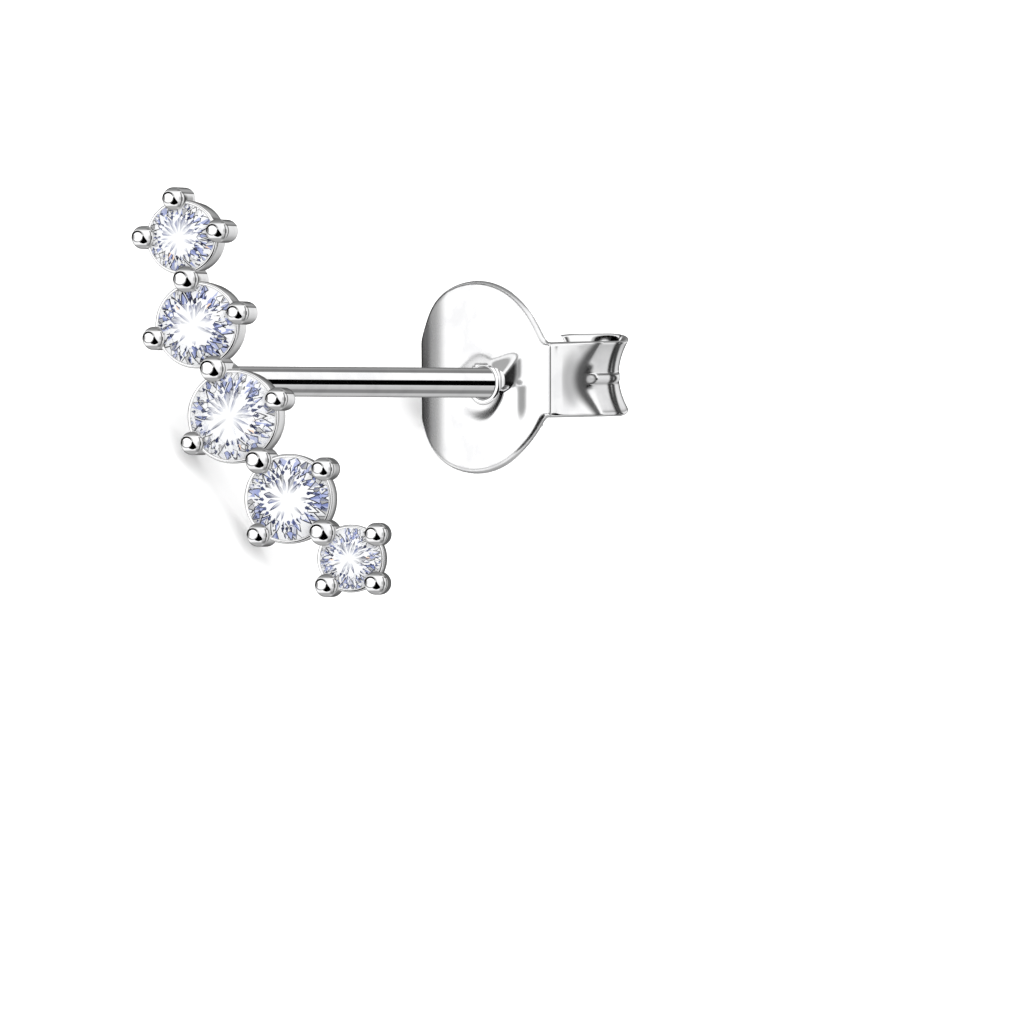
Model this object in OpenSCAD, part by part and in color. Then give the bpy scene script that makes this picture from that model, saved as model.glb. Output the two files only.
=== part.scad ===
/* [Stones] */
// Girdle diameter of the top stone
stone_1_d = 1.82; // [1.6:0.01:1.95]
// Girdle diameter of the second stone
stone_2_d = 2.15; // [1.9:0.01:2.3]
// Girdle diameter of the third stone, the largest
stone_3_d = 2.34; // [2.1:0.01:2.5]
// Girdle diameter of the fourth stone
stone_4_d = 2.22; // [2.0:0.01:2.4]
// Girdle diameter of the bottom stone
stone_5_d = 1.64; // [1.5:0.01:1.8]
// Width of the table, as a share of the girdle diameter
table_share = 0.57; // [0.5:0.01:0.64]
// Height of the crown, as a share of the girdle diameter
crown_share = 0.155; // [0.12:0.005:0.17]
// Depth of the pavilion, as a share of the girdle diameter
pavilion_share = 0.41; // [0.36:0.005:0.42]
// Width of the girdle band
girdle_w = 0.05; // [0.03:0.01:0.08]

/* [Row of settings] */
// Gap between the girdles of neighbouring stones
stone_gap = 0.365; // [0.3:0.005:0.42]
// Lean of the first link of the row, from straight down, in degrees
first_heading = 10.2; // [0:0.1:20]
// Turn of the row at each further link, in degrees
heading_step = 12.15; // [6:0.05:16]
// Radius of the upright cylinder that the face wraps round
face_bend_r = 28; // [20:1:60]

/* [Settings and prongs] */
// Depth of each collet behind the girdles
collet_depth = 0.96; // [0.9:0.01:1.1]
// How far each collet's outside stands beyond its stone's girdle
collet_lip = 0.08; // [0.06:0.01:0.12]
// Thickness of each collet's wall below its seat
collet_wall = 0.22; // [0.18:0.01:0.3]
// Diameter of a prong
prong_d = 0.62; // [0.56:0.01:0.66]
// Diameter of a prong that two stones share
shared_prong_d = 0.7; // [0.64:0.01:0.74]
// Distance from a stone's girdle out to the axis of its own prongs
prong_out = 0.125; // [0.1:0.005:0.16]
// Height of the centre of a prong's round head in front of the girdles
prong_rise = 0.09; // [0.05:0.01:0.14]

/* [Post] */
// Diameter of the post
post_d = 0.8; // [0.7:0.01:0.9]
// Length of the post from its root in the frame to its tip
post_len = 11.6; // [11.2:0.1:12.5]
// Lean of the post towards the right, from straight back, in degrees
post_lean = 29; // [10:1:32]
// Distance along the post from its root to the plate of the back
back_seat = 9.96; // [9.5:0.01:10.2]

/* [Butterfly back] */
// Thickness of the back's sheet
sheet_t = 0.2; // [0.18:0.01:0.25]
// Diameter of the round plate
plate_d = 5.16; // [4.8:0.01:5.4]
// Half the width of the plate's flat middle
flat_half_w = 1.55; // [1.4:0.01:1.65]
// Width of each wing between its bend and its ear
wing_w = 0.92; // [0.8:0.01:1]
// Backward bend of each wing, in degrees
wing_bend = 24; // [18:1:28]
// Further bend of the sheet at the crease where the ear starts, in degrees
crease_bend = 24; // [18:1:28]
// Radius of an ear's wide sweep, at its narrow middle
ear_r = 1.9; // [1.8:0.01:2]
// Radius of the tighter curl that ends an ear
curl_r = 0.95; // [0.85:0.01:1]
// Width of an ear's strip
ear_w = 2.02; // [1.7:0.01:2.05]
// How far an ear's two edges flare beyond its middle
ear_flare = 0.2; // [0.1:0.01:0.25]
// Angle of an ear's wide sweep, in degrees
ear_turn = 92; // [85:1:95]
// Angle of the tighter curl, in degrees
curl_turn = 150; // [130:1:155]
// Radial clearance of the back's hole round the post
post_clearance = 0.02; // [0.01:0.005:0.05]

/* [Hidden] */
$fn = 48;

silver = "silver";
crystal = "lavender";
stone_ds = [stone_1_d, stone_2_d, stone_3_d, stone_4_d, stone_5_d];
last = len(stone_ds) - 1;
middle = 2;
// The prongs beside a stone stand near the line square to the row, turned by these angles in degrees
right_turns = [-1, -1, -8, -1, -4];
left_turns = [-10, 1, 5, 10, 2];
// How far each shared prong stands off the line between its two stones, to the right and up
shared_shifts = [[-0.04, -0.04], [0, 0], [-0.05, -0.05], [0, 0]];
seat_clearance = 0.025;
prong_chamfer = 0.06;
overlap = 0.05;

// The post's root, counted from the middle stone's centre: right, behind its girdle and up
root = [-0.5, 0.7, 0.93];
post_axis = [sin(post_lean), cos(post_lean), 0];

// The plate's centre lies beside and above the hole
plate_x = -0.15;
plate_z = 0.15;
dish_r = 1.1;
dish_depth = 0.25;
eyelet_r = 0.6;
eyelet_wire = 0.17;
eyelet_rise = 0.17;
collar_len = 0.3;
rib_w = 0.32;
rib_rise = 0.08;
rib_start = 22;
rib_turn = 70;
// An ear's middle lies this far above the hole, and its sweep this far behind the crease
ear_z = 0.07;
ear_seat = ear_flare * 0.35;

// The earring lies on two prongs' feet and the left ear. A first guess at which way is then up, in the
// frame in which it is worn, and the middle of the floor that it covers
lying_guess = [0.77, -0.3, 0.56];
centre_x = -0.134;
centre_y = 6.23;

// Heading of link i, which runs from stone i to the next, and the mean heading at stone i
function link_heading(i) = first_heading + heading_step * i;
function row_heading(i) = (link_heading(max(i - 1, 0)) + link_heading(min(i, last - 1))) / 2;

// Unit step along a heading on the face: right and up
function toward(heading) = [sin(heading), -cos(heading)];

function link_step(i) = ((stone_ds[i] + stone_ds[i + 1]) / 2 + stone_gap) * toward(link_heading(i));

// Centre of stone i on the face, counted from the middle stone
function stone_centre(i) =
    i == middle ? [0, 0] :
    i < middle ? stone_centre(i + 1) - link_step(i) :
    stone_centre(i - 1) + link_step(i - 1);

function own_prong(i, heading) = stone_centre(i) + (stone_ds[i] / 2 + prong_out) * toward(heading);

function shared_prong(i) =
    stone_centre(i) + (stone_ds[i] + stone_gap) / 2 * toward(link_heading(i)) + shared_shifts[i];

// Turn of the wrapped face at a place on it, and where the place then lies
function face_turn(place) = place[0] / face_bend_r * 180 / PI;
function face_point(place) =
    [face_bend_r * sin(face_turn(place)), face_bend_r * (1 - cos(face_turn(place))), place[1]];

// Turns a vector about the upright by an angle
function turned(v, angle) = [v[0] * cos(angle) - v[1] * sin(angle), v[0] * sin(angle) + v[1] * cos(angle), v[2]];

function unit(v) = v / norm(v);

// Lowest point, where up points up, of a ring of radius r round an axis through its centre
function ring_foot(centre, axis, r, up) = centre - r * unit(up - (up * axis) * axis);

// Lowest point of the foot of stone i's left prong
function left_foot(i, up) =
    let (
        place = own_prong(i, row_heading(i) - 90 + left_turns[i]),
        axis = turned([0, 1, 0], face_turn(place))
    )
    ring_foot(face_point(place) + (collet_depth - prong_chamfer) * axis, axis, prong_d / 2, up);

// Lowest point of the lower rim of the left ear's wide sweep
function ear_foot(up) =
    let (
        neck = turned([wing_w, 0, 0], wing_bend) + [flat_half_w, 0, 0],
        hub = neck + turned([0, ear_r + ear_seat, 0], wing_bend + crease_bend),
        centre = turned([-hub[0], hub[1] + back_seat, ear_z - ear_w / 2], -post_lean)
    )
    ring_foot(root + centre, [0, 0, 1], ear_r + ear_flare, up);

// Which way is up, in the worn earring's frame, when it lies on the three feet: found in steps from a guess
function lying_up(up, steps) =
    steps == 0 ? up :
    let (
        a = left_foot(2, up),
        b = left_foot(3, up),
        c = ear_foot(up)
    )
    lying_up(unit(cross(b - a, c - a)), steps - 1);

// Lays the earring down from its upright, worn frame
module lying() {
    up = lying_up(lying_guess, 12);
    ahead = unit(post_axis - (post_axis * up) * up);
    side = cross(ahead, up);
    low = left_foot(2, up) * up;
    multmatrix([
        [side[0], side[1], side[2], -centre_x],
        [ahead[0], ahead[1], ahead[2], -centre_y],
        [up[0], up[1], up[2], -low]
    ])
        children();
}

// Puts a thing at a place on the wrapped face, with its back pointing away from the viewer
module on_face(place) {
    translate(face_point(place))
        rotate([0, 0, face_turn(place)])
            children();
}

// A ring of count points round the stone's axis, the first at the angle start
function ring(count, r, z, start = 0) =
    [for (i = [0:count - 1]) [r * cos(start + i * 360 / count), r * sin(start + i * 360 / count), z]];

// Round brilliant cut: table, stars, kites and upper halves over the girdle, mains and lower halves under it
module brilliant(d) {
    r = d / 2;
    table_r = r * table_share;
    crown_h = d * crown_share;
    culet_z = -girdle_w - d * pavilion_share;
    star_r = (table_r + r) / 2 * 1.01;
    star_z = crown_h * (r - star_r * cos(22.5)) / (r - table_r);
    half_r = r * 0.24;
    half_z = -girdle_w + (culet_z + girdle_w) * (1 - half_r * cos(22.5) / r);
    points = concat(
        ring(8, table_r, crown_h),
        ring(8, star_r, star_z, 22.5),
        ring(16, r, 0),
        ring(16, r, -girdle_w),
        ring(8, half_r, half_z, 22.5),
        [[0, 0, culet_z]]
    );
    hull()
        polyhedron(points, [[for (i = [0:len(points) - 1]) i]]);
}

module stone(i) {
    color(crystal)
        on_face(stone_centre(i))
            rotate([90, 0, 0])
                brilliant(stone_ds[i]);
}

// The room that a stone and the open back of its collet take out of the metal
module stone_room(i) {
    r = stone_ds[i] / 2 + seat_clearance;
    slope = (1 - table_share) / (2 * crown_share);
    head_h = prong_rise + shared_prong_d / 2;
    pavilion_h = stone_ds[i] * pavilion_share;
    on_face(stone_centre(i))
        rotate([90, 0, 0]) {
            cylinder(r1 = r, r2 = r - slope * head_h, h = head_h);
            translate([0, 0, -girdle_w - seat_clearance])
                cylinder(r = r, h = girdle_w + seat_clearance);
            translate([0, 0, -girdle_w - seat_clearance - pavilion_h])
                cylinder(r1 = 0, r2 = r, h = pavilion_h);
            translate([0, 0, -collet_depth - overlap])
                cylinder(r = stone_ds[i] / 2 + collet_lip - collet_wall, h = collet_depth);
        }
}

module collet(i) {
    on_face(stone_centre(i))
        rotate([-90, 0, 0])
            cylinder(r = stone_ds[i] / 2 + collet_lip, h = collet_depth);
}

// A prong: a round rod with a domed head in front and a chamfered foot behind
module prong(place, d) {
    on_face(place)
        rotate([-90, 0, 0]) {
            translate([0, 0, -prong_rise])
                sphere(d = d);
            translate([0, 0, -prong_rise])
                cylinder(d = d, h = prong_rise + collet_depth - prong_chamfer);
            translate([0, 0, collet_depth - prong_chamfer])
                cylinder(d1 = d, d2 = d - 2 * prong_chamfer, h = prong_chamfer);
        }
}

module post() {
    translate(root)
        rotate([0, 0, -post_lean])
            rotate([-90, 0, 0]) {
                cylinder(d = post_d, h = post_len - post_d / 2);
                translate([0, 0, post_len - post_d / 2])
                    sphere(d = post_d);
            }
}

module climber_frame() {
    color(silver) {
        difference() {
            union() {
                for (i = [0:last]) {
                    collet(i);
                    prong(own_prong(i, row_heading(i) + 90 + right_turns[i]), prong_d);
                    prong(own_prong(i, row_heading(i) - 90 + left_turns[i]), prong_d);
                }
                for (i = [0:last - 1])
                    prong(shared_prong(i), shared_prong_d);
                prong(own_prong(0, link_heading(0) + 180), prong_d);
                prong(own_prong(last, link_heading(last - 1)), prong_d);
            }
            for (i = [0:last])
                stone_room(i);
        }
        post();
    }
}

// The round plate's outline, between the upright lines at from and to
module plate_outline(from, to) {
    intersection() {
        translate([plate_x, plate_z])
            circle(d = plate_d, $fn = 96);
        translate([from, -plate_d])
            square([to - from, 2 * plate_d]);
    }
}

// Stands a flat outline up and gives it the sheet's thickness, towards the back
module sheet() {
    rotate([90, 0, 0])
        translate([0, 0, -sheet_t])
            linear_extrude(sheet_t)
                children();
}

// A wing and its rolled ear, on the side that side names: 1 is right and -1 is left
module wing_and_ear(side) {
    translate([side * flat_half_w, 0, 0])
        rotate([0, 0, side * wing_bend]) {
            translate([-side * flat_half_w, 0, 0])
                sheet()
                    plate_outline(
                        side > 0 ? flat_half_w : -flat_half_w - wing_w - overlap,
                        side > 0 ? flat_half_w + wing_w + overlap : -flat_half_w
                    );
            translate([side * wing_w, 0, 0])
                mirror([side < 0 ? 1 : 0, 0, 0])
                    rotate([0, 0, crease_bend])
                        translate([0, 0, ear_z])
                            ear();
        }
}

// An ear that starts at the crease, heading right: a wide sweep with its rib, then a tighter curl
module ear() {
    translate([0, ear_r + ear_seat, 0])
        rotate([0, 0, -90]) {
            rotate_extrude(angle = ear_turn, $fn = 96)
                ear_section(ear_r);
            rotate([0, 0, rib_start])
                rotate_extrude(angle = rib_turn, $fn = 96)
                    translate([ear_r + rib_rise - rib_w / 2, 0])
                        circle(d = rib_w, $fn = 24);
            rotate([0, 0, ear_turn])
                translate([ear_r - curl_r, 0, 0])
                    rotate_extrude(angle = curl_turn, $fn = 96)
                        ear_section(curl_r);
        }
}

// Section of an ear's strip, hollowed towards its middle, whose outside lies r from the roll's axis there
module ear_section(r) {
    hollow_r = (pow(ear_w / 2, 2) + pow(ear_flare, 2)) / (2 * ear_flare);
    intersection() {
        difference() {
            translate([r + hollow_r, 0])
                circle(r = hollow_r + sheet_t, $fn = 96);
            translate([r + hollow_r, 0])
                circle(r = hollow_r, $fn = 96);
        }
        translate([r - 2 * sheet_t, -ear_w / 2])
            square([ear_flare + 3 * sheet_t, ear_w]);
    }
}

// The pressed dish, the eyelet's rolled lip and its collar, round the post's axis
module eyelet() {
    hole_r = post_d / 2 + post_clearance;
    rotate([-90, 0, 0])
        rotate_extrude($fn = 96)
            difference() {
                union() {
                    polygon([
                        [dish_r, 0],
                        [eyelet_r, dish_depth],
                        [hole_r, dish_depth],
                        [hole_r, dish_depth + collar_len],
                        [eyelet_r, dish_depth + sheet_t],
                        [dish_r, sheet_t]
                    ]);
                    translate([hole_r, dish_depth - eyelet_rise + eyelet_wire / 2])
                        square([eyelet_wire, eyelet_rise]);
                    translate([hole_r + eyelet_wire / 2, dish_depth - eyelet_rise + eyelet_wire / 2])
                        circle(d = eyelet_wire, $fn = 24);
                }
                translate([0, -1])
                    square([hole_r, 2]);
            }
}

module butterfly_back() {
    color(silver)
        translate(root)
            rotate([0, 0, -post_lean])
                translate([0, back_seat, 0]) {
                    difference() {
                        sheet()
                            plate_outline(-flat_half_w, flat_half_w);
                        rotate([-90, 0, 0])
                            translate([0, 0, -overlap])
                                cylinder(r = dish_r, h = sheet_t + 2 * overlap);
                    }
                    eyelet();
                    wing_and_ear(1);
                    wing_and_ear(-1);
                }
}

lying() climber_frame();
lying() stone(0);  // stone_1
lying() stone(1);  // stone_2
lying() stone(2);  // stone_3
lying() stone(3);  // stone_4
lying() stone(4);  // stone_5
lying() butterfly_back();
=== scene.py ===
import math

import bmesh
import bpy
from bpy.props import FloatProperty, FloatVectorProperty, IntProperty, PointerProperty
from mathutils import Matrix, Vector


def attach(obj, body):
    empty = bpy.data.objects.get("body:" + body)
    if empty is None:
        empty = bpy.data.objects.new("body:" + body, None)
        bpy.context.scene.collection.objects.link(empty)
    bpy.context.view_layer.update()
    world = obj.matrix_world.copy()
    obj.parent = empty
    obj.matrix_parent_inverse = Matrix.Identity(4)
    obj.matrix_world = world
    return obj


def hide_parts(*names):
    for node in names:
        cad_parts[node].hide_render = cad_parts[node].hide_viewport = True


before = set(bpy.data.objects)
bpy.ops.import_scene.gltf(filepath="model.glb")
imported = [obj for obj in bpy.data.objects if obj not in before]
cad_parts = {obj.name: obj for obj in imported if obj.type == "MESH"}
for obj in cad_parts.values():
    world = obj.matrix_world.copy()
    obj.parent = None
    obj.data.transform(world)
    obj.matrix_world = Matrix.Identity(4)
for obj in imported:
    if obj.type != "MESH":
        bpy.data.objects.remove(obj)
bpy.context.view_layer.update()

bl_info = {
    "name": "Ear Climber",
    "version": (1, 0, 0),
    "blender": (4, 5, 0),
    "location": "View3D > Sidebar > Ear Climber",
    "description": "Dresses an ear climber earring: cut stones, collets, prongs, post and butterfly back",
    "category": "Add Mesh",
}

MM = 0.001
TOP_STONE, MIDDLE_STONE = 0, 2

# Edges that turn more than this stay crisp
CRISP, SHEET_CRISP = math.radians(35), math.radians(60)

# Round of a prong's foot, how far a collet's wall is drawn in, and the rounds of its three edges
FOOT_ROUND = 0.14 * MM
WALL_DRAWN_IN = 0.04 * MM
RIM_ROUND, BACK_ROUND, BORE_ROUND = 0.072 * MM, 0.08 * MM, 0.03 * MM

# The stub at the post's root and the round of its solder
STUB_H, SOLDER_R = 0.3 * MM, 0.12 * MM

# The back's sheet as it looks: dish, rounded rim, edge under the eyelet, wings and ears
DISH_RISE, DISH_DRAWN_IN = 0.7 * MM, 0.3 * MM
RIM_W, RIM_DROP, REAR_DROP = 0.19 * MM, 0.165 * MM, 0.03 * MM
SHEET_UNDER = 0.09 * MM
WING_TWIST, WING_TWIST_END = 80.0, 1.5 * MM
FOLD_DEPTH, FOLD_BACK = 0.045 * MM, 0.3 * MM
FLARE_TURN = math.radians(32)
RIB_FADE_IN, RIB_FADE_OUT, RIB_END = math.radians(9), math.radians(11), 0.84
EAR_LEAN, EAR_LEAN_START = 0.02, 0.4 * MM
CURL_LIFT = 0.19 * MM
# The left ear bends less at its fold, flares less and hangs lower, so that it reaches the floor
LEFT_EASE, LEFT_FLARE, LEFT_DROP = math.radians(8), 0.333, 0.25 * MM
# The eyelet: half its wire, its collar's width, wall and length, and its small steps and edges
EYELET_WIRE = 0.095 * MM
COLLAR_W, COLLAR_WALL, COLLAR_H = 0.2 * MM, 0.09 * MM, 0.3 * MM
STEP, EDGE = 0.01 * MM, 0.02 * MM

# The studio's round light and the dark ring round it, in a ball's own picture of the studio
LIGHT_X, LIGHT_Y, LIGHT_R = -0.47, 0.06, 0.385
DARK_X, DARK_Y, DARK_R = -0.50, 0.09, 0.495
BACKDROP = 1.9
LAMP_SIZE, LAMP_ENERGY, LAMP_PLACE = 0.4, 0.2, Vector((-0.15, -0.1, 0.5))


def length(name, value, description):
    """A size in millimetres, kept in metres."""
    return FloatProperty(
        name=name, description=description, default=value * MM, min=0, unit="LENGTH", precision=6
    )


def angle(name, degrees, description):
    """An angle in degrees, kept in radians."""
    return FloatProperty(
        name=name, description=description, default=math.radians(degrees), subtype="ANGLE"
    )


def colour(name, value, description):
    """A surface colour, in linear light."""
    return FloatVectorProperty(
        name=name, description=description, default=value, size=3, min=0, max=1, subtype="COLOR"
    )


# How dark the painted rays of reflected light in the middle of each stone are
RAY_TINTS = (0.4, 0.5, 0.7, 0.95, 0.9)


class StoneSizes(bpy.types.PropertyGroup):
    """The cut of the stones"""

    diameters: FloatVectorProperty(
        name="Diameters",
        description="Girdle diameters of the stones, top to bottom",
        size=5,
        default=[d * MM for d in (1.82, 2.15, 2.34, 2.22, 1.64)],
        unit="LENGTH",
        precision=6,
    )
    table: FloatProperty(
        name="Table", description="Table width, as a share of the diameter", default=0.57
    )
    crown: FloatProperty(
        name="Crown", description="Crown height, as a share of the diameter", default=0.155
    )
    pavilion: FloatProperty(
        name="Pavilion", description="Pavilion depth, as a share of the diameter", default=0.41
    )
    girdle_w: length("Girdle", 0.05, "Width of the girdle band")
    girdle_sides: IntProperty(name="Girdle sides", description="Sides of the round girdle", default=64)


class RowSizes(bpy.types.PropertyGroup):
    """How the settings stand in the row"""

    gap: length("Stone gap", 0.365, "Gap between the girdles of neighbouring stones")
    first_heading: angle("First heading", 10.2, "Lean of the row's first link from straight down")
    heading_step: angle("Heading step", 12.15, "Turn of the row at each further link")
    bend_r: length("Face radius", 28, "Radius of the upright cylinder that the face wraps round")


class SettingSizes(bpy.types.PropertyGroup):
    """Collets and prongs"""

    depth: length("Depth", 0.96, "Depth of a collet behind the girdles")
    lip: length("Lip", 0.08, "How far a collet stands beyond its stone's girdle")
    wall: length("Wall", 0.22, "Thickness of a collet's wall")
    prong_d: length("Prong", 0.62, "Diameter of a prong")
    shared_prong_d: length("Shared prong", 0.7, "Diameter of a prong that two stones share")
    prong_out: length("Prong reach", 0.125, "Distance from a girdle out to the axis of its prongs")
    prong_rise: length("Prong rise", 0.09, "Height of a prong's round head in front of the girdles")
    foot: length("Foot chamfer", 0.06, "Chamfer of a prong's foot")


class PostSizes(bpy.types.PropertyGroup):
    """The post"""

    root: FloatVectorProperty(
        name="Root",
        description="Where the post leaves the face: right, behind and above the middle stone's centre",
        size=3,
        default=(-0.5 * MM, 0.7 * MM, 0.93 * MM),
        unit="LENGTH",
        precision=6,
    )
    diameter: length("Diameter", 0.8, "Diameter of the post")
    reach: length("Length", 11.6, "Length of the post from its root to its tip")
    lean: angle("Lean", 29, "Lean of the post to the right, from straight back")
    back_seat: length("Back's place", 9.96, "Distance along the post to the plate of the back")


class BackSizes(bpy.types.PropertyGroup):
    """The butterfly back"""

    sheet: length("Sheet", 0.2, "Thickness of the sheet")
    plate_d: length("Plate", 5.16, "Diameter of the round plate")
    plate_x: length("Plate shift", 0.15, "How far the plate's middle lies to the left of its hole")
    plate_z: length("Plate rise", 0.15, "How far the plate's middle lies above its hole")
    flat_half_w: length("Flat half", 1.55, "Half the width of the plate's flat middle")
    wing_w: length("Wing", 0.92, "Width of each wing between its bend and its ear")
    wing_bend: angle("Wing bend", 24, "Backward bend of each wing")
    crease_bend: angle("Plain bend", 24, "Bend at the crease of the plain solid, which sets how it lies")
    ear_r: length("Plain ear radius", 1.9, "Radius of the plain solid's ear, which sets how it lies")
    fold_bend: angle("Fold bend", 43, "Further bend at the fold where an ear starts")
    soft_bend: angle("Soft bend", 19, "Backward bend of each wing as it looks")
    soft_w: length("Soft wing", 0.86, "Width of each wing as it looks")
    edge_flare: length("Edge flare", 0.3, "How far an ear's edges flare as it looks")
    bend_r: length("Bend radius", 2.7, "Inside softness of the wings' bends")
    fold_r: length("Fold radius", 0.11, "Softness of the fold")
    sweep_r: length("Sweep radius", 2.75, "Radius of an ear's wide sweep at its middle")
    curl_r: length("Curl radius", 0.8, "Radius of the tighter curl that ends an ear")
    ear_w: length("Ear width", 2.02, "Width of an ear's strip")
    ear_z: length("Ear rise", 0.07, "How far an ear's middle lies above the hole")
    flare: length("Flare", 0.2, "How far an ear's edges flare beyond its middle")
    sweep_turn: angle("Sweep turn", 71, "Angle of an ear's wide sweep")
    curl_turn: angle("Curl turn", 146, "Angle of the tighter curl")
    dish_r: length("Dish", 1.24, "Outer radius of the pressed dish")
    dish_depth: length("Dish depth", 0.26, "Depth of the pressed dish")
    eyelet_r: length("Eyelet", 0.6, "Outer radius of the eyelet")
    clearance: length("Clearance", 0.02, "Clearance round the post")
    rib_w: length("Rib", 0.32, "Width of an ear's rib")
    rib_rise: length("Rib rise", 0.08, "Height of an ear's rib")
    rib_start: angle("Rib start", 22, "Angle from the crease to the start of the rib")


class Finishes(bpy.types.PropertyGroup):
    """Colours of the metal, the stones and the stage"""

    silver: colour("Silver", (0.93, 0.93, 0.935), "Polished silver")
    silver_shade: colour("Silver shade", (0.8, 0.8, 0.815), "Silver where the polish is thinner")
    # The stones' four colours below are painted reflections and flashes of light, laid on clear crystal
    ice: colour("Ice", (0.58, 0.585, 0.595), "The stones' bright facets")
    lavender: colour("Lavender", (0.175, 0.21, 0.41), "The stones' lavender facets")
    navy: colour("Navy", (0.006, 0.009, 0.04), "The stones' dark blue facets")
    tan: colour("Tan", (0.62, 0.45, 0.33), "The few warm facets")
    floor: colour("Floor", (0.96, 0.96, 0.96), "The pale floor")


class StageSizes(bpy.types.PropertyGroup):
    """Camera and floor"""

    azimuth: angle("Azimuth", 13.8, "The camera's turn round the worn earring")
    view_width: length("View width", 1024 / 37.9, "Width of the picture where the earring lies")
    aim_right: length("Aim right", (512 - 232.75) / 37.9, "Picture's middle, right of the middle stone")
    aim_down: length("Aim down", (512 - 416.25) / 37.9, "Picture's middle, below the middle stone")
    lens: FloatProperty(name="Lens", description="Focal length in millimetres", default=800)
    floor_half: length("Floor", 900, "Half the width of the floor")


class EarClimber(bpy.types.PropertyGroup):
    """All the sizes and colours"""

    stones: PointerProperty(type=StoneSizes)
    row: PointerProperty(type=RowSizes)
    settings: PointerProperty(type=SettingSizes)
    post: PointerProperty(type=PostSizes)
    back: PointerProperty(type=BackSizes)
    finishes: PointerProperty(type=Finishes)
    stage: PointerProperty(type=StageSizes)


# Turns of the prongs beside each stone, and shifts of the shared prongs, as the row was made
RIGHT_TURNS = [math.radians(a) for a in (-1, -1, -8, -1, -4)]
LEFT_TURNS = [math.radians(a) for a in (-10, 1, 5, 10, 2)]
SHARED_SHIFTS = [Vector(v) * MM for v in ((-0.04, -0.04), (0, 0), (-0.05, -0.05), (0, 0))]

# A first guess of the way up as it lies, in the worn frame, and the middle of the floor that it covers
LYING_GUESS = Vector((0.77, -0.3, 0.56))
CENTRE_X, CENTRE_Y = -0.134 * MM, 6.23 * MM


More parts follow.
